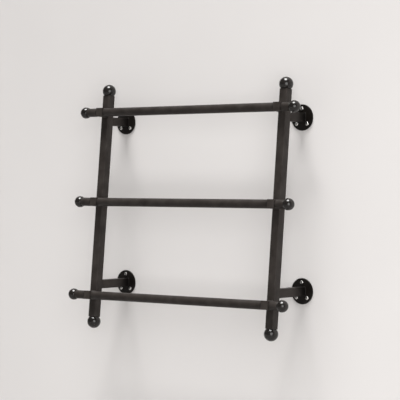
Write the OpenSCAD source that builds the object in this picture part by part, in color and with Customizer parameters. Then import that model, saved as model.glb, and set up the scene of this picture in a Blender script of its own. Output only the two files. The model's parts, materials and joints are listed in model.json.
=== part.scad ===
// Wall-hung towel rack: two leaning square uprights on four arms, three round bars, ball finials.
// Millimetres. +Z is up, the wall is the plane Y = 0 and the rack stands out towards -Y.
// The origin is the centre of the rectangle of the four upper wall screws, on the wall plane.

/* [Overall] */
// Distance between the centre lines of the two uprights
upright_spacing = 500; // [300:1:900]
// Angle of the uprights to the wall, with their tops nearer to it
lean = 5.7; // [0:0.1:8]
// Distance from the wall to the uprights' centre line, at the middle bar
standoff = 83.5; // [70:0.5:140]

/* [Uprights and arms] */
// Side of the square tube
tube_w = 19; // [15:0.5:22]
// Wall of the square tube
tube_wall = 1.5; // [1:0.1:2.5]
// Outer corner radius of the square tube
corner_r = 1; // [0.5:0.1:2]
// Length of an upright above the middle bar, along the tube
upright_above = 243; // [225:1:300]
// Length of an upright below the middle bar, along the tube
upright_below = 257.5; // [230:0.5:320]
// Height of the arms above and below the middle bar
arm_height = 183.5; // [120:0.5:190]

/* [Bars] */
// Outer diameter of a bar and of its end collars
bar_d = 19; // [15:0.5:19]
// Wall of a bar
bar_wall = 1.5; // [1:0.1:2.5]
// Height of the top bar above the middle bar
top_bar_height = 201.5; // [150:0.5:215]
// Height of the bottom bar, below the middle bar
bottom_bar_height = -208.5; // [-220:0.5:-150]
// Width of a bar block, across the upright
block_w = 18.5; // [15:0.5:19]
// Height of a bar block
block_h = 19; // [19:0.5:22]
// Depth of a bar block, out from the front of the upright
block_depth = 20.5; // [19:0.5:30]
// Length of the collars at the left end of the bars
left_collar_length = 30; // [15:0.5:40]
// Length of the collars at the right end of the bars
right_collar_length = 22; // [15:0.5:40]

/* [Finials] */
// Diameter of the balls on the bars
bar_ball_d = 25.5; // [22:0.5:30]
// Diameter of the balls on the uprights
end_ball_d = 30; // [25:0.5:34]
// Distance from the centre of an upright's ball to its flat seat
end_ball_seat = 10.5; // [8:0.5:11]

/* [Wall flanges] */
// Diameter of a wall flange
flange_d = 55.5; // [52:0.5:70]
// Thickness of a wall flange
flange_t = 3; // [2:0.5:5]
// Radius of the circle of screws in a flange
screw_circle_r = 19.25; // [18.5:0.25:22]

/* [Fasteners] */
// Diameter of the studs that hold the finials
stud_d = 5.9; // [4.9:0.1:6.9]
// Length of a stud in an insert or a plug
stud_grip = 12; // [8:1:16]
// Diameter of a wall screw's thread
screw_thread_d = 4; // [3.5:0.1:4.2]
// Diameter of a wall screw's plain neck, in the flange
screw_neck_d = 4.4; // [4.3:0.1:4.8]
// Length of a wall screw's thread in the wall
screw_thread_length = 32; // [20:1:50]
// Diameter of a wall screw's pan head
screw_head_d = 7.6; // [6.5:0.1:8.5]
// Height of a wall screw's pan head
screw_head_h = 2.4; // [2:0.1:3]

/* [Hidden] */
$fn = 64;

// Sides of the rack, along X
left = -1;
right = 1;
// Ends of an upright, along its tube
top_end = 1;
bottom_end = -1;
// Heights, counted from the middle bar
middle_bar_height = 0;
top_arm_height = arm_height;
bottom_arm_height = -arm_height;
// Angles of the three screws round a flange
screw_angles = [90, 225, 315];

iron = "#2f2b28";
zinc = "#a9acae";
nickel = "#d9dadb";

clearance = 0.05;
tapped_d = stud_d + 2 * clearance;
clear_hole_d = tapped_d + 0.6;
flange_hole_d = screw_neck_d + 0.4;
screw_rim_h = 0.9;
screw_tip_length = 5;
screw_tip_d = 0.8;
recess_w = 1.1;
recess_length = 4.4;
recess_depth = 1.3;
end_ball_hole = 11;
bar_ball_hole = 9;

middle_z = -screw_circle_r;
bar_out = tube_w / 2 + block_depth - bar_d / 2;
bar_length = upright_spacing - block_w;
bar_ball_seat = sqrt(pow(bar_ball_d / 2, 2) - pow(bar_d / 2, 2));
cut = 2 * (upright_above + upright_below);

function collar_length(side) = side == left ? left_collar_length : right_collar_length;

// An upright's own frame: Z runs up the tube, -Y points out of its front face
module lean_frame(side) {
    translate([side * upright_spacing / 2, -standoff, middle_z])
        rotate([-lean, 0, 0])
            children();
}

// A bar's own frame: X runs along the bar, and -Y is as on the uprights
module bar_frame(height) {
    lean_frame(0)
        translate([0, -bar_out, height / cos(lean)])
            children();
}

// The outer face of a block is at X = 0, and X runs outwards to the finial
module bar_end_frame(side, height) {
    bar_frame(height)
        mirror([side == left ? 1 : 0, 0, 0])
            translate([(upright_spacing + block_w) / 2, 0, 0])
                children();
}

// The end of an upright is at Z = 0, and Z runs outwards to the finial
module upright_end_frame(side, end) {
    lean_frame(side)
        mirror([0, 0, end == bottom_end ? 1 : 0])
            translate([0, 0, end == top_end ? upright_above : upright_below])
                children();
}

// A wall flange's own frame: Z points out of the wall, and Y is up
module flange_frame(side, height) {
    translate([side * upright_spacing / 2, 0, middle_z + height])
        rotate([90, 0, 0])
            children();
}

module tube_outline() {
    flat = tube_w - 2 * corner_r;
    difference() {
        union() {
            square([tube_w, flat], center = true);
            square([flat, tube_w], center = true);
            for (x = [-1, 1], y = [-1, 1])
                translate([x * flat / 2, y * flat / 2])
                    circle(r = corner_r);
        }
        square(tube_w - 2 * tube_wall, center = true);
    }
}

module along_x(d, length) {
    rotate([0, 90, 0])
        cylinder(d = d, h = length);
}

// A ball with a flat seat on the plane Z = 0 and a blind hole for its stud
module drilled_ball(d, seat, hole_depth) {
    difference() {
        translate([0, 0, seat])
            sphere(d = d);
        translate([-d, -d, -2 * d])
            cube([2 * d, 2 * d, 2 * d]);
        translate([0, 0, -1])
            cylinder(d = tapped_d, h = hole_depth + 1);
    }
}

module upright(side) {
    color(iron)
        lean_frame(side)
            translate([0, 0, -upright_below])
                linear_extrude(upright_above + upright_below)
                    tube_outline();
}

module end_plug(side, end) {
    plug_w = tube_w - 2 * tube_wall;
    color(zinc)
        upright_end_frame(side, end)
            translate([0, 0, -stud_grip])
                linear_extrude(stud_grip)
                    difference() {
                        square(plug_w, center = true);
                        circle(d = tapped_d);
                    }
}

module end_ball(side, end) {
    color(iron)
        upright_end_frame(side, end)
            drilled_ball(end_ball_d, end_ball_seat, end_ball_hole);
}

module end_ball_studs(side) {
    color(zinc)
        for (end = [top_end, bottom_end])
            upright_end_frame(side, end)
                translate([0, 0, -stud_grip])
                    cylinder(d = stud_d, h = stud_grip + end_ball_hole - 1);
}

module bar(height) {
    color(iron)
        bar_frame(height)
            translate([-bar_length / 2, 0, 0])
                difference() {
                    along_x(bar_d, bar_length);
                    translate([-1, 0, 0])
                        along_x(bar_d - 2 * bar_wall, bar_length + 2);
                }
}

module bar_insert(side, height) {
    color(zinc)
        bar_end_frame(side, height)
            translate([-block_w - stud_grip, 0, 0])
                difference() {
                    along_x(bar_d - 2 * bar_wall, stud_grip);
                    translate([-1, 0, 0])
                        along_x(tapped_d, stud_grip + 2);
                }
}

module block(side, height) {
    color(iron)
        bar_end_frame(side, height)
            difference() {
                translate([-block_w, -bar_d / 2, -block_h / 2])
                    cube([block_w, block_depth, block_h]);
                translate([-block_w - 1, 0, 0])
                    along_x(clear_hole_d, block_w + 2);
            }
}

module collar(side, height) {
    color(iron)
        bar_end_frame(side, height)
            difference() {
                along_x(bar_d, collar_length(side));
                translate([-1, 0, 0])
                    along_x(clear_hole_d, collar_length(side) + 2);
            }
}

module bar_ball(side, height) {
    color(iron)
        bar_end_frame(side, height)
            translate([collar_length(side), 0, 0])
                rotate([0, 90, 0])
                    drilled_ball(bar_ball_d, bar_ball_seat, bar_ball_hole);
}

module bar_studs(side) {
    color(zinc)
        for (height = [top_bar_height, middle_bar_height, bottom_bar_height])
            bar_end_frame(side, height)
                translate([-block_w - stud_grip, 0, 0])
                    along_x(stud_d, stud_grip + block_w + collar_length(side) + bar_ball_hole - 1);
}

module arm(side, height) {
    color(iron)
        difference() {
            flange_frame(side, height)
                translate([0, 0, flange_t])
                    linear_extrude(standoff)
                        tube_outline();
            lean_frame(side)
                translate([-tube_w, tube_w / 2 - cut, -cut / 2])
                    cube([2 * tube_w, cut, cut]);
        }
}

module flange(side, height) {
    color(iron)
        flange_frame(side, height)
            difference() {
                cylinder(d = flange_d, h = flange_t);
                for (angle = screw_angles)
                    rotate(angle)
                        translate([screw_circle_r, 0, -1])
                            cylinder(d = flange_hole_d, h = flange_t + 2);
            }
}

// A pan-head screw along Z: the flange's front is at Z = 0, the wall at Z = -flange_t
module wall_screw() {
    dome_h = screw_head_h - screw_rim_h;
    dome_r = (pow(screw_head_d / 2, 2) + pow(dome_h, 2)) / (2 * dome_h);
    difference() {
        intersection() {
            cylinder(d = screw_head_d, h = screw_head_h);
            translate([0, 0, screw_head_h - dome_r])
                sphere(r = dome_r);
        }
        for (turn = [0, 90])
            rotate(turn)
                translate([-recess_length / 2, -recess_w / 2, screw_head_h - recess_depth])
                    cube([recess_length, recess_w, screw_head_h]);
    }
    translate([0, 0, -flange_t])
        cylinder(d = screw_neck_d, h = flange_t);
    translate([0, 0, -flange_t - screw_thread_length])
        cylinder(d = screw_thread_d, h = screw_thread_length);
    translate([0, 0, -flange_t - screw_thread_length - screw_tip_length])
        cylinder(d1 = screw_tip_d, d2 = screw_thread_d, h = screw_tip_length);
}

module wall_screws(side, height) {
    color(nickel)
        flange_frame(side, height)
            for (angle = screw_angles)
                rotate(angle)
                    translate([screw_circle_r, 0, flange_t])
                        wall_screw();
}

upright(left);  // left_upright
upright(right);  // right_upright
end_plug(left, top_end);  // left_top_end_plug
end_plug(left, bottom_end);  // left_bottom_end_plug
end_plug(right, top_end);  // right_top_end_plug
end_plug(right, bottom_end);  // right_bottom_end_plug
end_ball(left, top_end);  // left_top_end_ball
end_ball(left, bottom_end);  // left_bottom_end_ball
end_ball(right, top_end);  // right_top_end_ball
end_ball(right, bottom_end);  // right_bottom_end_ball
end_ball_studs(left);  // left_end_ball_studs
end_ball_studs(right);  // right_end_ball_studs
bar(top_bar_height);  // top_bar
bar(middle_bar_height);  // middle_bar
bar(bottom_bar_height);  // bottom_bar
bar_insert(left, top_bar_height);  // left_top_bar_insert
bar_insert(left, middle_bar_height);  // left_middle_bar_insert
bar_insert(left, bottom_bar_height);  // left_bottom_bar_insert
bar_insert(right, top_bar_height);  // right_top_bar_insert
bar_insert(right, middle_bar_height);  // right_middle_bar_insert
bar_insert(right, bottom_bar_height);  // right_bottom_bar_insert
block(left, top_bar_height);  // left_top_block
block(left, middle_bar_height);  // left_middle_block
block(left, bottom_bar_height);  // left_bottom_block
block(right, top_bar_height);  // right_top_block
block(right, middle_bar_height);  // right_middle_block
block(right, bottom_bar_height);  // right_bottom_block
collar(left, top_bar_height);  // left_top_collar
collar(left, middle_bar_height);  // left_middle_collar
collar(left, bottom_bar_height);  // left_bottom_collar
collar(right, top_bar_height);  // right_top_collar
collar(right, middle_bar_height);  // right_middle_collar
collar(right, bottom_bar_height);  // right_bottom_collar
bar_ball(left, top_bar_height);  // left_top_bar_ball
bar_ball(left, middle_bar_height);  // left_middle_bar_ball
bar_ball(left, bottom_bar_height);  // left_bottom_bar_ball
bar_ball(right, top_bar_height);  // right_top_bar_ball
bar_ball(right, middle_bar_height);  // right_middle_bar_ball
bar_ball(right, bottom_bar_height);  // right_bottom_bar_ball
bar_studs(left);  // left_bar_studs
bar_studs(right);  // right_bar_studs
arm(left, top_arm_height);  // left_top_arm
arm(left, bottom_arm_height);  // left_bottom_arm
arm(right, top_arm_height);  // right_top_arm
arm(right, bottom_arm_height);  // right_bottom_arm
flange(left, top_arm_height);  // left_top_flange
flange(left, bottom_arm_height);  // left_bottom_flange
flange(right, top_arm_height);  // right_top_flange
flange(right, bottom_arm_height);  // right_bottom_flange
wall_screws(left, top_arm_height);  // left_top_wall_screws
wall_screws(left, bottom_arm_height);  // left_bottom_wall_screws
wall_screws(right, top_arm_height);  // right_top_wall_screws
wall_screws(right, bottom_arm_height);  // right_bottom_wall_screws
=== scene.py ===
"""Looks for a wall-hung iron towel rack: finished pieces, materials, light and camera around the CAD frame.

Metres, in the row frame: +X along the bars, +Y into the wall, +Z up, the wall's surface at Y = 0.
"""

import json
import math

import bmesh
import bpy
from mathutils import Matrix, Vector


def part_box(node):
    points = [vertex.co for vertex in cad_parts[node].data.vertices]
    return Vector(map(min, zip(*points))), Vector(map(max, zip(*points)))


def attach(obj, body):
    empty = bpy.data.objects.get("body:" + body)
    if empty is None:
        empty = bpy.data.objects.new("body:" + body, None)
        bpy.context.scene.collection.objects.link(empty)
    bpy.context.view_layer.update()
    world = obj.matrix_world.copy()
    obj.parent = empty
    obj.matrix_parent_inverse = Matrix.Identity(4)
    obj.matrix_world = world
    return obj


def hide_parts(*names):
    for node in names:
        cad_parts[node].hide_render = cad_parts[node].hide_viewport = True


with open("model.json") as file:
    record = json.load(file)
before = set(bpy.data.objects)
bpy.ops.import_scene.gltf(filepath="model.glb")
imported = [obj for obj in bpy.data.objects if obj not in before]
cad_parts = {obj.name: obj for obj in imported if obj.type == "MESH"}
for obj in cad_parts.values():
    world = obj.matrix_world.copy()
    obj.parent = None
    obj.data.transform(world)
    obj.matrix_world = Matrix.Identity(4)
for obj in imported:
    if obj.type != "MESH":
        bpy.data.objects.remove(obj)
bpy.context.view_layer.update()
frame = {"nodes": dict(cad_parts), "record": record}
MM = 0.001
BODY = "root"

SIDES = {"left": -1, "right": 1}
ENDS = {"top": 1, "bottom": -1}
LEVELS = ("top", "middle", "bottom")
EDGES = {"upper": 1, "lower": -1}
# Words in the names of the hidden fasteners' nodes
HIDDEN = ("plug", "insert", "stud")


# ---------------------------------------------------------------- what the frame gives


def centre(node):
    low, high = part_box(node)
    return (low + high) / 2


def size(node):
    low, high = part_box(node)
    return high - low


# The uprights lean: UP runs along their tubes, FRONT points out of their front faces
RIGHT = Vector((1, 0, 0))
UP = (centre("left_top_collar") - centre("left_bottom_collar")).normalized()
BACK = UP.cross(RIGHT)
FRONT = -BACK
INTO_WALL = Vector((0, 1, 0))
OUT_OF_WALL = -INTO_WALL
TRUE_UP = Vector((0, 0, 1))


def leaning_size(node):
    """(depth, height) of a box-shaped node that leans with the uprights, from its upright bounding box."""
    s = size(node)
    sine, cosine = UP.y, UP.z
    divisor = cosine**2 - sine**2
    return (s.y * cosine - s.z * sine) / divisor, (s.z * cosine - s.y * sine) / divisor


TUBE_W = size("left_upright").x
TUBE_WALL = (TUBE_W - size("left_top_end_plug").x) / 2
UPRIGHT_LENGTH = leaning_size("left_upright")[1]
BAR_R = size("top_bar").z / 2
BAR_BORE_R = size("left_top_bar_insert").z / 2
BLOCK_W = size("left_top_block").x
BLOCK_DEPTH, BLOCK_H = leaning_size("left_top_block")
FLANGE_R = size("left_top_flange").x / 2
FLANGE_T = size("left_top_flange").y
WALL_SCREW_PATTERNS = [m for m in frame["record"]["mounts"] if m["kind"] == "bolt_pattern"]
SCREWS_PER_FLANGE = 3

# Sizes finer than the frame's boxes tell
CORNER_R = 1.0 * MM
BORE_CORNER_R = 0.4 * MM
EDGE_R = 0.4 * MM
ROUND_TUBE_RIM = 1.1 * MM
FLANGE_EDGE_R = 0.9 * MM
STUD_HOLE_R = 3.0 * MM
CLEAR_HOLE_R = 3.3 * MM
END_BALL_HOLE = 11 * MM
BAR_BALL_HOLE = 9 * MM
# A ball's curve starts this far above the edge of its seat, in radians
BALL_LIP = 0.03
SCREW_HOLE_R = 2.4 * MM
SCREW_HEAD_R = 3.8 * MM
SCREW_HEAD_H = 2.4 * MM
SCREW_RIM_H = 0.9 * MM
SCREW_FOOT_R = 0.15 * MM
# Height, length and width of a screw's cross recess at its bottom, and above the head
RECESS_BOTTOM = (0.5 * MM, 1.6 * MM, 0.8 * MM)
RECESS_TOP = (3.0 * MM, 5.6 * MM, 1.45 * MM)
RECESS_CORNER_R = 0.2 * MM
# A face whose centre is this far under the dome is in the recess
RECESS_MARGIN = 0.1 * MM
SCREW_NECK_R = 2.2 * MM
SCREW_THREAD_R = 2.0 * MM
SCREW_CORE_R = 1.45 * MM
SCREW_PITCH = 1.8 * MM
SCREW_THREAD_LENGTH = 32 * MM
SCREW_TIP_LENGTH = 5 * MM
SCREW_TIP_SHARE = 0.15  # the tip's radius, as a share of the core's
THREAD_HALF_WIDTH = 0.3  # of the pitch
# How far each screw was turned when it was driven home, in degrees
SCREW_TURNS = (12, 71, 38, 55, 3, 80, 26, 64, 17, 47, 85, 33)
BEAD_LEG = 1.2 * MM
FLANGE_BEAD_LEG = 0.7 * MM
BEAD_SINK = 0.25 * MM
BEAD_RIPPLE = 1.5 * MM
BEAD_RIPPLE_STEPS = 6
BEAD_RIPPLE_SWELL = 0.09
BEAD_DRIFT = 7.3 * BEAD_RIPPLE
BEAD_DRIFT_SWELL = 0.06
BEAD_HOLLOW = 0.62  # how far the face sinks towards the corner, as a share of the leg
BEAD_FACE_STEPS = 6
BEAD_END_SHARE = 0.35  # the size of an open bead's ends, as a share of the leg
BEAD_END_STEPS = 4

# Edges turn sharp from these angles, in degrees
SHARP_EDGE = 35
SHARP_BEAD_EDGE = 60
# Vertices this close are one
MERGE_DISTANCE = 1e-7
# Directions are taken as parallel from this dot product
NEARLY_PARALLEL = 0.99


# ---------------------------------------------------------------- mesh code


def placed(origin, x, y, z):
    """Matrix that takes local axes to x, y and z at origin."""
    m = Matrix((x, y, z)).transposed().to_4x4()
    m.translation = origin
    return m


def along(origin, axis):
    """Matrix whose local Z is the axis."""
    x = RIGHT if abs(UP.dot(axis)) > NEARLY_PARALLEL else UP
    x = (x - axis * x.dot(axis)).normalized()
    return placed(origin, x, axis.cross(x), axis)


def rounded_outline(width, depth, radius, steps=6):
    """A rectangle with round corners, anticlockwise, as (x, y) pairs."""
    points = []
    for quarter, (sx, sy) in enumerate(((1, 1), (-1, 1), (-1, -1), (1, -1))):
        cx, cy = sx * (width / 2 - radius), sy * (depth / 2 - radius)
        for step in range(steps + 1):
            a = (quarter + step / steps) * math.pi / 2
            points.append((cx + radius * math.cos(a), cy + radius * math.sin(a)))
    return points


def circle_outline(radius, steps):
    turn = 2 * math.pi / steps
    return [(radius * math.cos(i * turn), radius * math.sin(i * turn)) for i in range(steps)]


def loft(rings, closed=False, caps=False):
    """Vertices and faces of a skin through rings with equal numbers of points."""
    count = len(rings[0])
    verts = [tuple(p) for ring in rings for p in ring]
    faces = []
    for r in range(len(rings) if closed else len(rings) - 1):
        a, b = r * count, (r + 1) % len(rings) * count
        for i in range(count):
            j = (i + 1) % count
            faces.append((a + i, a + j, b + j, b + i))
    if caps:
        last = (len(rings) - 1) * count
        faces.append(tuple(reversed(range(count))))
        faces.append(tuple(range(last, last + count)))
    return verts, faces


def lathe(profile, steps=96):
    """Skin of a profile of (radius, z) points turned round Z. Its first and last points are on the axis."""
    verts = [(0, 0, profile[0][1])]
    for radius, z in profile[1:-1]:
        verts += [(x, y, z) for x, y in circle_outline(radius, steps)]
    verts.append((0, 0, profile[-1][1]))
    top = len(verts) - 1
    faces = []
    rings = len(profile) - 2
    for i in range(steps):
        j = (i + 1) % steps
        faces.append((0, 1 + j, 1 + i))
        for r in range(rings - 1):
            a, b = 1 + r * steps, 1 + (r + 1) * steps
            faces.append((a + i, a + j, b + j, b + i))
        last = 1 + (rings - 1) * steps
        faces.append((last + i, last + j, top))
    return verts, faces


def quarter_round(radius, steps=4):
    """(inset, rise) pairs from a side face over a rounded edge on to an end face."""
    turns = [i / steps * math.pi / 2 for i in range(steps + 1)]
    return [(radius * (1 - math.cos(t)), radius * math.sin(t)) for t in turns]


def tube(outer, inner, low, high, rim=EDGE_R):
    """A tube along Z. outer and inner give an outline for an inset, low and high give z for its points."""
    rings = []
    rim_edge = quarter_round(rim)
    bore_edge = quarter_round(EDGE_R)
    for inset, rise in reversed(rim_edge):
        rings.append([(x, y, low(x, y) + rim - rise) for x, y in outer(inset)])
    for inset, rise in rim_edge:
        rings.append([(x, y, high(x, y) - rim + rise) for x, y in outer(inset)])
    for inset, rise in reversed(bore_edge):
        rings.append([(x, y, high(x, y) - EDGE_R + rise) for x, y in inner(inset)])
    for inset, rise in bore_edge:
        rings.append([(x, y, low(x, y) + EDGE_R - rise) for x, y in inner(inset)])
    return loft(rings, closed=True)


def square_tube(low, high):
    """A tube of the uprights' and arms' stock. low and high give z for a point of its outline."""

    def outer(inset):
        width = TUBE_W - 2 * inset
        return rounded_outline(width, width, CORNER_R - inset)

    def inner(inset):
        width = TUBE_W - 2 * TUBE_WALL + 2 * inset
        return rounded_outline(width, width, BORE_CORNER_R + inset)

    return tube(outer, inner, low, high)


def round_tube(radius, bore, length, steps=96):
    return tube(
        lambda inset: circle_outline(radius - inset, steps),
        lambda inset: circle_outline(bore + inset, steps),
        lambda x, y: 0,
        lambda x, y: length,
        ROUND_TUBE_RIM,
    )


def drilled_ball(radius, seat, hole_depth, steps=48):
    """A ball that sits on Z = 0 with its centre at Z = seat, with a blind hole for its stud."""
    seat_r = math.sqrt(radius**2 - seat**2)
    start = math.asin(-seat / radius) + BALL_LIP
    profile = [(0, hole_depth), (STUD_HOLE_R, hole_depth), (STUD_HOLE_R, EDGE_R)]
    profile += [(STUD_HOLE_R + EDGE_R, 0), (seat_r - EDGE_R, 0)]
    for i in range(steps):
        a = start + (math.pi / 2 - start) * i / steps
        profile.append((radius * math.cos(a), seat + radius * math.sin(a)))
    profile.append((0, seat + radius))
    return lathe(profile)


def bead(path, first, second, full_leg, closed=False):
    """A weld bead along path, in the corner between the directions first(i) and second(i)."""
    rings = []
    count = len(path)
    travelled = 0.0
    for i, point in enumerate(path):
        travelled += (point - path[i - 1]).length if i else 0.0
        leg = full_leg * (1 + BEAD_RIPPLE_SWELL * math.sin(2 * math.pi * travelled / BEAD_RIPPLE))
        leg *= 1 + BEAD_DRIFT_SWELL * math.sin(2 * math.pi * travelled / BEAD_DRIFT)
        if not closed:
            to_end = min(i, count - 1 - i) / BEAD_END_STEPS
            leg *= min(1.0, BEAD_END_SHARE + (1 - BEAD_END_SHARE) * to_end)
        section = [(leg, -BEAD_SINK), (leg, 0)]
        for step in range(1, BEAD_FACE_STEPS):
            t = step / BEAD_FACE_STEPS * math.pi / 2
            section.append((leg * (1 - BEAD_HOLLOW * math.sin(t)), leg * (1 - BEAD_HOLLOW * math.cos(t))))
        section += [(0, leg), (-BEAD_SINK, leg), (-BEAD_SINK, -BEAD_SINK)]
        a, b = first(i), second(i)
        rings.append([point + a * x + b * y for x, y in section])
    return loft(rings, closed=closed, caps=not closed)


def add_object(name, data):
    thing = bpy.data.objects.new(name, data)
    bpy.context.scene.collection.objects.link(thing)
    return thing


def mesh_object(name, skin, matrix=Matrix.Identity(4), sharp=SHARP_EDGE):
    """An object from a skin of vertices and faces, smooth but for its sharp edges."""
    mesh = bpy.data.meshes.new(name)
    mesh.from_pydata(skin[0], [], skin[1])
    mesh.transform(matrix)
    mesh.validate()
    bm = bmesh.new()
    bm.from_mesh(mesh)
    bmesh.ops.remove_doubles(bm, verts=bm.verts, dist=MERGE_DISTANCE)
    bmesh.ops.recalc_face_normals(bm, faces=bm.faces)
    bm.to_mesh(mesh)
    bm.free()
    mesh.shade_smooth()
    mesh.set_sharp_from_angle(angle=math.radians(sharp))
    return add_object(name, mesh)


def make_piece(name, skin, matrix, material, node):
    """A finished piece that rides on the body and stands for a node."""
    piece = mesh_object(name, skin, matrix)
    piece.data.materials.append(material)
    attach(piece, BODY)
    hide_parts(node)
    return piece


def make_weld(name, skin, material):
    """A weld bead in the row frame. It is extra detail, so it stands for no node."""
    piece = mesh_object(name, skin, sharp=SHARP_BEAD_EDGE)
    piece.data.materials.append(material)
    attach(piece, BODY)


def carved(skin, cutters):
    """The skin with the cutters' skins taken away, as a skin again."""
    body = mesh_object("carving", skin)
    tools = [mesh_object("cutter", c) for c in cutters]
    for tool in tools:
        change = body.modifiers.new("cut", "BOOLEAN")
        change.operation = "DIFFERENCE"
        change.solver = "EXACT"
        change.object = tool
    shape = body.evaluated_get(bpy.context.evaluated_depsgraph_get()).to_mesh()
    verts = [tuple(v.co) for v in shape.vertices]
    faces = [tuple(p.vertices) for p in shape.polygons]
    for thing in [body, *tools]:
        data = thing.data
        bpy.data.objects.remove(thing)
        bpy.data.meshes.remove(data)
    return verts, faces


def moved(skin, matrix):
    """The skin taken through a matrix."""
    return [tuple(matrix @ Vector(v)) for v in skin[0]], skin[1]


def joined(skins):
    """Several skins as one."""
    verts, faces = [], []
    for v, f in skins:
        start = len(verts)
        verts += v
        faces += [tuple(i + start for i in face) for face in f]
    return verts, faces


def rod(radius, low, high, steps=48):
    """A solid cylinder along Z."""
    return loft([[(x, y, z) for x, y in circle_outline(radius, steps)] for z in (low, high)], caps=True)


# ---------------------------------------------------------------- materials

# Noise patterns: scale and detail
IRON_CLOUD = (45, 4)
IRON_SHEEN = (120, 5)
IRON_GRAIN = (1300, 2)
IRON_WAVE = (160, 2)
METAL_CLOUD = (400, 4)
METAL_SCRATCHES = (5200, 2)
WALL_CLOUD = (2.0, 2)
WALL_STIPPLE = (260, 3)
FLOOR_CLOUD = (3.0, 3)
NOISE_ROUGHNESS = 0.55
# Most of a noise's values are between these
NOISE_LOW = 0.3
NOISE_HIGH = 0.7

# Sheen of the wall and floor
WALL_ROUGHNESS = 0.85
WALL_SHINE = 0.2
FLOOR_ROUGHNESS = 0.7

# Bumps: depth and strength. A paint's grain has a depth of its own
WAVE_BUMP = (0.10 * MM, 0.35)
GRAIN_STRENGTH = 0.5
SCRATCH_BUMP = (0.01 * MM, 0.3)
STIPPLE_BUMP = (0.25 * MM, 0.25)

# Painted shade: the paint darkens within this reach of the wall on the arms, and of the bar blocks on the
# round tubes, down to this share of its colour, for the shade that falls there
WALL_PAINTED_SHADE = (55 * MM, 0.12)
BLOCK_GAP_PAINTED_SHADE = (3.0 * MM, 0.05)

# The darkest and lightest colour in each finish
SATIN_COLOURS = ((0.0195, 0.0158, 0.0138), (0.0365, 0.0312, 0.0280))
BAR_COLOURS = ((0.0168, 0.0136, 0.0119), (0.0314, 0.0268, 0.0241))
DARK_COLOURS = ((0.0045, 0.0035, 0.0029), (0.0085, 0.0068, 0.0057))
GLOSS_COLOURS = ((0.0055, 0.0043, 0.0036), (0.0095, 0.0078, 0.0066))
NICKEL_COLOURS = ((0.58, 0.57, 0.555), (0.68, 0.67, 0.65))
# Painted shade: the screws' cross recesses are coloured dark for the shade inside them
RECESS_SHADE_COLOURS = ((0.10, 0.10, 0.10), (0.20, 0.20, 0.195))
ZINC_COLOURS = ((0.50, 0.51, 0.52), (0.66, 0.67, 0.68))
WALL_COLOURS = ((0.675, 0.657, 0.649), (0.695, 0.677, 0.669))
FLOOR_COLOURS = ((0.24, 0.235, 0.23), (0.26, 0.255, 0.25))


def new_material(name):
    material = bpy.data.materials.new(name)
    material.use_nodes = True
    nodes, links = material.node_tree.nodes, material.node_tree.links
    return material, nodes, links, nodes["Principled BSDF"]


def object_coords(nodes):
    return nodes.new("ShaderNodeTexCoord").outputs["Object"]


def noise(nodes, links, coords, pattern):
    """A noise of a pattern's scale and detail, mostly from NOISE_LOW to NOISE_HIGH."""
    scale, detail = pattern
    n = nodes.new("ShaderNodeTexNoise")
    n.inputs["Scale"].default_value = scale
    n.inputs["Detail"].default_value = detail
    n.inputs["Roughness"].default_value = NOISE_ROUGHNESS
    links.new(coords, n.inputs["Vector"])
    return n.outputs["Fac"]


def coloured(nodes, links, value, colours):
    """Maps a noise on to a ramp between two colours."""
    r = nodes.new("ShaderNodeValToRGB")
    for stop, position, colour in zip(r.color_ramp.elements, (NOISE_LOW, NOISE_HIGH), colours):
        stop.position = position
        stop.color = (*colour, 1)
    links.new(value, r.inputs["Fac"])
    return r.outputs["Color"]


def spread(nodes, links, value, low, high):
    """Maps a noise on to low to high."""
    m = nodes.new("ShaderNodeMapRange")
    m.inputs["From Min"].default_value = NOISE_LOW
    m.inputs["From Max"].default_value = NOISE_HIGH
    m.inputs["To Min"].default_value = low
    m.inputs["To Max"].default_value = high
    links.new(value, m.inputs["Value"])
    return m.outputs["Result"]


def bumps(nodes, links, heights):
    """A chain of bumps: (height socket, depth in metres, strength)."""
    normal = None
    for height, depth, strength in heights:
        b = nodes.new("ShaderNodeBump")
        b.inputs["Distance"].default_value = depth
        b.inputs["Strength"].default_value = strength
        links.new(height, b.inputs["Height"])
        if normal:
            links.new(normal, b.inputs["Normal"])
        normal = b.outputs["Normal"]
    return normal


def measure(nodes, links, operation, first, second=0.0):
    """One step of arithmetic on a socket, with a number."""
    m = nodes.new("ShaderNodeMath")
    m.operation = operation
    links.new(first, m.inputs[0])
    m.inputs[1].default_value = second
    return m.outputs["Value"]


def depth_from_wall(nodes, links, where):
    """How far a point is from the wall's surface."""
    axes = nodes.new("ShaderNodeSeparateXYZ")
    links.new(where, axes.inputs["Vector"])
    return measure(nodes, links, "ABSOLUTE", axes.outputs["Y"])


def distance_from_blocks(nodes, links, where):
    """How far along X a point is from the nearer side face of the bar blocks."""
    axes = nodes.new("ShaderNodeSeparateXYZ")
    links.new(where, axes.inputs["Vector"])
    across = measure(nodes, links, "ABSOLUTE", axes.outputs["X"])
    past_middle = measure(nodes, links, "SUBTRACT", across, centre("right_top_block").x)
    from_middle = measure(nodes, links, "ABSOLUTE", past_middle)
    past_face = measure(nodes, links, "SUBTRACT", from_middle, BLOCK_W / 2)
    return measure(nodes, links, "ABSOLUTE", past_face)


def with_painted_shade(nodes, links, colour, distance, reach, darkest):
    """Painted shade: darkens a colour towards distance 0, from full colour at reach to a share of it,
    darkest.
    """
    share = nodes.new("ShaderNodeMapRange")
    share.interpolation_type = "SMOOTHSTEP"
    share.inputs["From Max"].default_value = reach
    share.inputs["To Min"].default_value = darkest
    links.new(distance, share.inputs["Value"])
    mix = nodes.new("ShaderNodeMix")
    mix.data_type = "RGBA"
    mix.blend_type = "MULTIPLY"
    mix.inputs["Factor"].default_value = 1.0
    links.new(colour, mix.inputs["A"])
    links.new(share.outputs["Result"], mix.inputs["B"])
    return mix.outputs["Result"]


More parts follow.
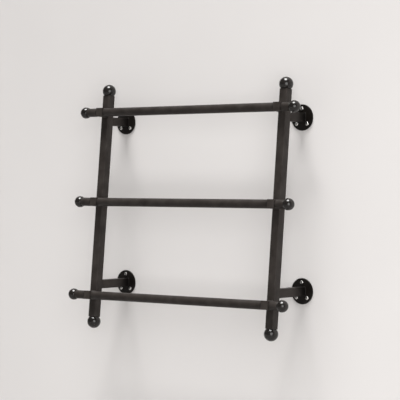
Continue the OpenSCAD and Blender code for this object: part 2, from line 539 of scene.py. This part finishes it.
def iron_paint(name, colours, roughness, grain_depth, shine, painted_shade=None):
    """Dark iron finish: cloudy colour, uneven sheen, fine grain and a slow waviness.

    roughness is (lowest, highest). painted_shade is (distance function, reach, darkest share), where
    painted shade darkens the colour towards something.
    """
    material, nodes, links, shader = new_material(name)
    where = object_coords(nodes)
    colour = coloured(nodes, links, noise(nodes, links, where, IRON_CLOUD), colours)
    # Painted shade: the colour darkens towards something nearby
    if painted_shade:
        distance, reach, darkest = painted_shade
        colour = with_painted_shade(nodes, links, colour, distance(nodes, links, where), reach, darkest)
    links.new(colour, shader.inputs["Base Color"])
    sheen = noise(nodes, links, where, IRON_SHEEN)
    links.new(spread(nodes, links, sheen, *roughness), shader.inputs["Roughness"])
    grain = noise(nodes, links, where, IRON_GRAIN)
    wave = noise(nodes, links, where, IRON_WAVE)
    normal = bumps(nodes, links, ((wave, *WAVE_BUMP), (grain, grain_depth, GRAIN_STRENGTH)))
    links.new(normal, shader.inputs["Normal"])
    shader.inputs["Specular IOR Level"].default_value = shine
    return material


def bright_metal(name, colours, roughness):
    """Plated steel with fine scratches and a cloudy sheen. roughness is (lowest, highest)."""
    material, nodes, links, shader = new_material(name)
    where = object_coords(nodes)
    cloud = noise(nodes, links, where, METAL_CLOUD)
    links.new(coloured(nodes, links, cloud, colours), shader.inputs["Base Color"])
    links.new(spread(nodes, links, cloud, *roughness), shader.inputs["Roughness"])
    scratches = noise(nodes, links, where, METAL_SCRATCHES)
    links.new(bumps(nodes, links, ((scratches, *SCRATCH_BUMP),)), shader.inputs["Normal"])
    shader.inputs["Metallic"].default_value = 1.0
    return material


def wall_paint():
    """Pale rolled wall paint. It is seen from the room only: from behind, the wall is clear."""
    material, nodes, links, shader = new_material("wall_paint")
    where = object_coords(nodes)
    cloud = noise(nodes, links, where, WALL_CLOUD)
    links.new(coloured(nodes, links, cloud, WALL_COLOURS), shader.inputs["Base Color"])
    stipple = noise(nodes, links, where, WALL_STIPPLE)
    links.new(bumps(nodes, links, ((stipple, *STIPPLE_BUMP),)), shader.inputs["Normal"])
    shader.inputs["Roughness"].default_value = WALL_ROUGHNESS
    shader.inputs["Specular IOR Level"].default_value = WALL_SHINE
    side = nodes.new("ShaderNodeNewGeometry")
    clear = nodes.new("ShaderNodeBsdfTransparent")
    mix = nodes.new("ShaderNodeMixShader")
    links.new(side.outputs["Backfacing"], mix.inputs["Fac"])
    links.new(shader.outputs["BSDF"], mix.inputs[1])
    links.new(clear.outputs["BSDF"], mix.inputs[2])
    links.new(mix.outputs["Shader"], nodes["Material Output"].inputs["Surface"])
    return material


def floor_paint():
    """A pale matt floor with a faint cloudiness."""
    material, nodes, links, shader = new_material("floor_paint")
    cloud = noise(nodes, links, object_coords(nodes), FLOOR_CLOUD)
    links.new(coloured(nodes, links, cloud, FLOOR_COLOURS), shader.inputs["Base Color"])
    shader.inputs["Roughness"].default_value = FLOOR_ROUGHNESS
    return material


SATIN = iron_paint("satin_iron", SATIN_COLOURS, roughness=(0.40, 0.50), grain_depth=0.03 * MM, shine=0.18)
# Arm paint with painted shade: darker towards the wall, for the shade where the arm meets its flange
ARM = iron_paint(
    "arm_iron_painted_shade",
    SATIN_COLOURS,
    roughness=(0.40, 0.50),
    grain_depth=0.03 * MM,
    shine=0.16,
    painted_shade=(depth_from_wall, *WALL_PAINTED_SHADE),
)
# Bar paint with painted shade: darker next to the bar blocks' side faces, for the shade in the gap between
# the parts
BAR = iron_paint(
    "bar_iron_painted_shade",
    BAR_COLOURS,
    roughness=(0.38, 0.48),
    grain_depth=0.03 * MM,
    shine=0.16,
    painted_shade=(distance_from_blocks, *BLOCK_GAP_PAINTED_SHADE),
)
DARK = iron_paint("dark_iron", DARK_COLOURS, roughness=(0.34, 0.44), grain_depth=0.02 * MM, shine=0.18)
GLOSS = iron_paint("gloss_iron", GLOSS_COLOURS, roughness=(0.17, 0.23), grain_depth=0.010 * MM, shine=0.48)
NICKEL = bright_metal("nickel", NICKEL_COLOURS, roughness=(0.24, 0.32))
# Dark metal for the screws' recesses: painted shade, the same plating as the heads
RECESS_PAINTED_SHADE = bright_metal("recess", RECESS_SHADE_COLOURS, roughness=(0.45, 0.60))
ZINC = bright_metal("zinc", ZINC_COLOURS, roughness=(0.32, 0.45))


# ---------------------------------------------------------------- pieces


def upright(side):
    """An upright's square tube, open at both ends for its plugs."""
    node = f"{side}_upright"
    half = UPRIGHT_LENGTH / 2
    skin = square_tube(lambda x, y: -half, lambda x, y: half)
    to_row = placed(centre(node), RIGHT, BACK, UP)
    make_piece(f"{side}_upright_tube", skin, to_row, SATIN, node)


def upright_end(side, end):
    """The middle of an upright's end face."""
    return centre(f"{side}_upright") + UP * (ENDS[end] * UPRIGHT_LENGTH / 2)


def end_ball(side, end):
    node = f"{side}_{end}_end_ball"
    low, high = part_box(node)
    radius = (high.x - low.x) / 2
    middle = (low + high) / 2
    middle.z = high.z - radius if end == "top" else low.z + radius
    axis = UP * ENDS[end]
    foot = upright_end(side, end)
    seat = (middle - foot).dot(axis)
    skin = drilled_ball(radius, seat, END_BALL_HOLE)
    make_piece(f"{side}_{end}_upright_finial", skin, along(foot, axis), GLOSS, node)


def tube_piece(name, node, bore):
    """A round tube of the bars' stock along X that stands for a node."""
    low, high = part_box(node)
    start = centre(node)
    start.x = low.x
    skin = round_tube(BAR_R, bore, high.x - low.x)
    make_piece(name, skin, along(start, RIGHT), BAR, node)


def block_foot(side, level):
    """The middle of a block's back face, on the upright."""
    return centre(f"{side}_{level}_block") - FRONT * (BLOCK_DEPTH / 2)


def block(side, level):
    node = f"{side}_{level}_block"
    rings = []
    for z in (0, BLOCK_DEPTH - EDGE_R):
        rings.append([(x, y, z) for x, y in rounded_outline(BLOCK_W, BLOCK_H, CORNER_R)])
    for inset, rise in quarter_round(EDGE_R)[1:]:
        outline = rounded_outline(BLOCK_W - 2 * inset, BLOCK_H - 2 * inset, CORNER_R - inset)
        rings.append([(x, y, BLOCK_DEPTH - EDGE_R + rise) for x, y in outline])
    hole = moved(rod(CLEAR_HOLE_R, -BLOCK_W, BLOCK_W), along(Vector((0, 0, BLOCK_DEPTH - BAR_R)), RIGHT))
    skin = carved(loft(rings, caps=True), [hole])
    to_row = placed(block_foot(side, level), RIGHT, -UP, FRONT)
    make_piece(f"{side}_{level}_bar_block", skin, to_row, SATIN, node)


def bar_ball(side, level):
    node = f"{side}_{level}_bar_ball"
    low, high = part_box(node)
    radius = (high.z - low.z) / 2
    axis = RIGHT * SIDES[side]
    foot = (low + high) / 2
    foot.x = low.x if side == "right" else high.x
    skin = drilled_ball(radius, high.x - low.x - radius, BAR_BALL_HOLE)
    make_piece(f"{side}_{level}_bar_finial", skin, along(foot, axis), GLOSS, node)


def arm_line(side, end):
    """Where an arm's centre line leaves the wall."""
    start = centre(f"{side}_{end}_flange")
    start.y = 0
    return start


def mitre_depth(side, start, across, up):
    """How far out from the wall the upright's back face is, at a point of the arm's outline."""
    on_face = centre(f"{side}_upright") + BACK * (TUBE_W / 2)
    here = start + RIGHT * across + TRUE_UP * up
    return (here - on_face).dot(BACK) / BACK.y


def arm(side, end):
    node = f"{side}_{end}_arm"
    start = arm_line(side, end)
    skin = square_tube(lambda x, y: FLANGE_T, lambda x, y: mitre_depth(side, start, x, y))
    to_row = placed(start, RIGHT, TRUE_UP, OUT_OF_WALL)
    make_piece(f"{side}_{end}_arm_tube", skin, to_row, ARM, node)


def flange_skin():
    profile = [(0, 0), (FLANGE_R - EDGE_R, 0), (FLANGE_R, EDGE_R)]
    for inset, rise in quarter_round(FLANGE_EDGE_R, steps=6):
        profile.append((FLANGE_R - inset, FLANGE_T - FLANGE_EDGE_R + rise))
    profile.append((0, FLANGE_T))
    return lathe(profile, steps=128)


def screw_places(side, end):
    """Where the screws of a flange go through the wall's surface, from the stated mounts."""
    hub = arm_line(side, end)
    places = []
    for pattern in WALL_SCREW_PATTERNS:
        middle = Vector(pattern["pos_m"])
        width, height = pattern["dims"]["spacing_x_mm"], pattern["dims"]["spacing_y_mm"]
        for sx in (-1, 1):
            for sz in (-1, 1):
                spot = middle + Vector((sx * width, 0, sz * height)) * (MM / 2)
                if (spot - hub).length < FLANGE_R:
                    places.append(spot)
    return places


def flange(side, end):
    node = f"{side}_{end}_flange"
    to_row = placed(arm_line(side, end), RIGHT, TRUE_UP, OUT_OF_WALL)
    to_flange = to_row.inverted()
    holes = [
        moved(rod(SCREW_HOLE_R, -FLANGE_T, 2 * FLANGE_T), Matrix.Translation(to_flange @ spot))
        for spot in screw_places(side, end)
    ]
    skin = carved(flange_skin(), holes)
    make_piece(f"{side}_{end}_wall_flange", skin, to_row, DARK, node)


def dome_height(r):
    """Height of a screw head's dome at a distance from its axis."""
    rise = SCREW_HEAD_H - SCREW_RIM_H
    dome_r = (SCREW_HEAD_R**2 + rise**2) / (2 * rise)
    return SCREW_HEAD_H - dome_r + math.sqrt(dome_r**2 - r**2)


def screw_head(steps=10):
    """Pan head with a cross recess that narrows downwards, on Z = 0."""
    profile = [(0, 0), (SCREW_HEAD_R - SCREW_FOOT_R, 0), (SCREW_HEAD_R, SCREW_FOOT_R)]
    for i in range(steps):
        r = SCREW_HEAD_R * (1 - i / steps)
        profile.append((r, dome_height(r)))
    profile.append((0, SCREW_HEAD_H))
    slots = []
    for turn in (0, math.pi / 2):
        rings = []
        for z, length, width in (RECESS_BOTTOM, RECESS_TOP):
            outline = rounded_outline(length, width, RECESS_CORNER_R, steps=3)
            rings.append([(x, y, z) for x, y in outline])
        slots.append(moved(loft(rings, caps=True), Matrix.Rotation(turn, 4, "Z")))
    return carved(lathe(profile, steps=64), slots)


def screw_thread(around=20, per_pitch=6):
    """Helical thread and gimlet tip, running down from Z = 0."""
    total = SCREW_THREAD_LENGTH + SCREW_TIP_LENGTH
    count = int(total / SCREW_PITCH * per_pitch)
    rings = []
    for k in range(count + 1):
        z = total * k / count
        taper = min(1.0, (total - z) / SCREW_TIP_LENGTH)
        start = min(1.0, z / SCREW_PITCH)
        core = SCREW_CORE_R * (SCREW_TIP_SHARE + (1 - SCREW_TIP_SHARE) * taper)
        ring = []
        for i in range(around):
            a = 2 * math.pi * i / around
            phase = (z / SCREW_PITCH - i / around) % 1.0
            crest = max(0.0, 1 - abs(phase - 0.5) / THREAD_HALF_WIDTH)
            r = core + (SCREW_THREAD_R - SCREW_CORE_R) * crest * min(taper, start)
            ring.append((r * math.cos(a), r * math.sin(a), -z))
        rings.append(ring)
    return loft(rings, caps=True)


SCREW_HEAD = screw_head()
SCREW_THREAD = screw_thread()


def in_recess(offset):
    """Whether a point is in a screw's recess, from its offset to where the screw enters the wall."""
    height = -offset.y - FLANGE_T
    across = math.hypot(offset.x, offset.z)
    return across < RECESS_TOP[1] / 2 and 0 < height < dome_height(across) - RECESS_MARGIN


def wall_screws(side, end, turns):
    node = f"{side}_{end}_wall_screws"
    skins = []
    neck = rod(SCREW_NECK_R, -FLANGE_T, 0)
    thread = moved(SCREW_THREAD, Matrix.Translation((0, 0, -FLANGE_T)))
    places = screw_places(side, end)
    for spot, turn in zip(places, turns):
        to_row = placed(spot + OUT_OF_WALL * FLANGE_T, RIGHT, TRUE_UP, OUT_OF_WALL)
        to_row = to_row @ Matrix.Rotation(math.radians(turn), 4, "Z")
        skins += [moved(s, to_row) for s in (SCREW_HEAD, neck, thread)]
    name = f"{side}_{end}_flange_screws"
    piece = make_piece(name, joined(skins), Matrix.Identity(4), NICKEL, node)
    # The faces in the cross recesses take the painted recess shade
    piece.data.materials.append(RECESS_PAINTED_SHADE)
    for face in piece.data.polygons:
        if any(in_recess(face.center - spot) for spot in places):
            face.material_index = 1


def straight_weld(name, middle, first, second, width):
    """A weld along X in the corner between the directions first and second."""
    steps = int(width / BEAD_RIPPLE * BEAD_RIPPLE_STEPS)
    path = [middle + RIGHT * (width * (i / steps - 0.5)) for i in range(steps + 1)]
    skin = bead(path, lambda i: first, lambda i: second, BEAD_LEG)
    make_weld(name, skin, SATIN)


def arm_welds(side, end):
    """Welds round an arm at its flange, and above and below it at its upright."""
    start = arm_line(side, end)
    outline = []
    corners = rounded_outline(TUBE_W, TUBE_W, CORNER_R)
    for i, (x, y) in enumerate(corners):
        nx, ny = corners[(i + 1) % len(corners)]
        gap = math.hypot(nx - x, ny - y)
        steps = max(1, int(gap / BEAD_RIPPLE * BEAD_RIPPLE_STEPS))
        outline += [(x + (nx - x) * k / steps, y + (ny - y) * k / steps) for k in range(steps)]
    path = [start + RIGHT * x + TRUE_UP * y + OUT_OF_WALL * FLANGE_T for x, y in outline]
    flat = TUBE_W / 2 - CORNER_R

    def outward(i):
        x, y = outline[i]
        away = Vector((x - max(-flat, min(flat, x)), 0, y - max(-flat, min(flat, y))))
        return away.normalized()

    skin = bead(path, outward, lambda i: OUT_OF_WALL, FLANGE_BEAD_LEG, closed=True)
    make_weld(f"{side}_{end}_flange_weld", skin, DARK)
    for edge, up in EDGES.items():
        corner = start + TRUE_UP * (up * TUBE_W / 2)
        corner += OUT_OF_WALL * mitre_depth(side, start, 0, up * TUBE_W / 2)
        width = TUBE_W - 2 * CORNER_R
        straight_weld(f"{side}_{end}_arm_{edge}_weld", corner, INTO_WALL, UP * up, width)


def block_welds(side, level):
    """Welds above and below a block at its upright."""
    for edge, up in EDGES.items():
        corner = block_foot(side, level) + UP * (up * BLOCK_H / 2)
        width = BLOCK_W - 2 * CORNER_R
        straight_weld(f"{side}_{level}_block_{edge}_weld", corner, FRONT, UP * up, width)


for level in LEVELS:
    tube_piece(f"{level}_bar_tube", f"{level}_bar", BAR_BORE_R)
turns_to_use = iter(SCREW_TURNS)
for side in SIDES:
    upright(side)
    for level in LEVELS:
        block(side, level)
        block_welds(side, level)
        tube_piece(f"{side}_{level}_bar_collar", f"{side}_{level}_collar", CLEAR_HOLE_R)
        bar_ball(side, level)
    for end in ENDS:
        end_ball(side, end)
        flange(side, end)
        arm(side, end)
        arm_welds(side, end)
        wall_screws(side, end, [next(turns_to_use) for _ in range(SCREWS_PER_FLANGE)])

# The hidden fasteners keep their CAD shapes
for name, node in frame["nodes"].items():
    if any(word in name for word in HIDDEN):
        node.data.materials.clear()
        node.data.materials.append(ZINC)


# ---------------------------------------------------------------- wall, floor, light and camera

ROOM = 12.0
FLOOR_DROP = 1.5
# A hair in front of the flanges' backs, so that these are lit in a view from behind
WALL_Y = -0.05 * MM
# The camera looks at VIEW_AIM from the right of square on
VIEW_AZIMUTH = math.radians(39.57)
VIEW_ELEVATION = math.radians(0.75)
VIEW_DISTANCE = 3.839
VIEW_AIM = Vector((-0.0314, 0, -0.0122))
VIEW_REACH = 50
# In millimetres, as a camera takes them
LENS = 155.9
SENSOR = 36.0
LIGHT_COLOUR = (1.0, 0.99, 0.98)


def rectangle(left, right, near, far):
    """Corners, anticlockwise."""
    return ((left, near), (right, near), (right, far), (left, far))


def stage_sheet(name, corners, material):
    mesh = bpy.data.meshes.new(name)
    mesh.from_pydata(corners, [], [(0, 1, 2, 3)])
    mesh.materials.append(material)
    add_object(name, mesh)


def area_light(name, position, width, power):
    """A round soft box that shines at the rack and is itself out of sight."""
    lamp = bpy.data.lights.new(name, "AREA")
    lamp.shape = "DISK"
    lamp.size = width
    lamp.energy = power
    lamp.color = LIGHT_COLOUR
    thing = add_object(name, lamp)
    thing.location = position
    thing.rotation_euler = (-Vector(position)).to_track_quat("-Z", "Y").to_euler()
    thing.visible_camera = False


def overhead_light(name, towards, angle, strength):
    """A wide, even light that comes from a direction."""
    lamp = bpy.data.lights.new(name, "SUN")
    lamp.angle = math.radians(angle)
    lamp.energy = strength
    lamp.color = LIGHT_COLOUR
    thing = add_object(name, lamp)
    thing.rotation_euler = Vector(towards).to_track_quat("Z", "Y").to_euler()


def soft_world(strength, backdrop):
    """Even light of the given strength, in front of a backdrop that is seen brighter than it shines."""
    world = bpy.data.worlds.new("studio")
    bpy.context.scene.world = world
    world.use_nodes = True
    nodes, links = world.node_tree.nodes, world.node_tree.links
    background = nodes["Background"]
    background.inputs["Color"].default_value = (*LIGHT_COLOUR, 1)
    seen = nodes.new("ShaderNodeLightPath")
    level = nodes.new("ShaderNodeMapRange")
    level.inputs["To Min"].default_value = strength
    level.inputs["To Max"].default_value = backdrop
    links.new(seen.outputs["Is Camera Ray"], level.inputs["Value"])
    links.new(level.outputs["Result"], background.inputs["Strength"])


def make_camera():
    data = bpy.data.cameras.new("camera")
    data.sensor_width = SENSOR
    data.lens = LENS
    data.clip_end = VIEW_REACH
    camera = add_object("camera", data)
    back = Vector((math.sin(VIEW_AZIMUTH), -math.cos(VIEW_AZIMUTH), math.tan(VIEW_ELEVATION)))
    back.normalize()
    camera.location = VIEW_AIM + back * VIEW_DISTANCE
    camera.rotation_euler = (-back).to_track_quat("-Z", "Y").to_euler()
    bpy.context.scene.camera = camera


corners = rectangle(-ROOM, ROOM, -FLOOR_DROP, ROOM)
stage_sheet("wall", [(x, WALL_Y, z) for x, z in corners], wall_paint())
corners = rectangle(-ROOM, ROOM, -ROOM, 0)
stage_sheet("floor", [(x, y, -FLOOR_DROP) for x, y in corners], floor_paint())
soft_world(strength=0.20, backdrop=0.74)
overhead_light("key", towards=(0.04, -0.24, 0.95), angle=33, strength=5.9)
area_light("fill", position=(2.6, -2.6, 0.3), width=2.6, power=66)
area_light("behind", position=(-2.0, 2.6, 1.6), width=1.6, power=60)
make_camera()
bpy.context.scene.view_settings.view_transform = "Standard"
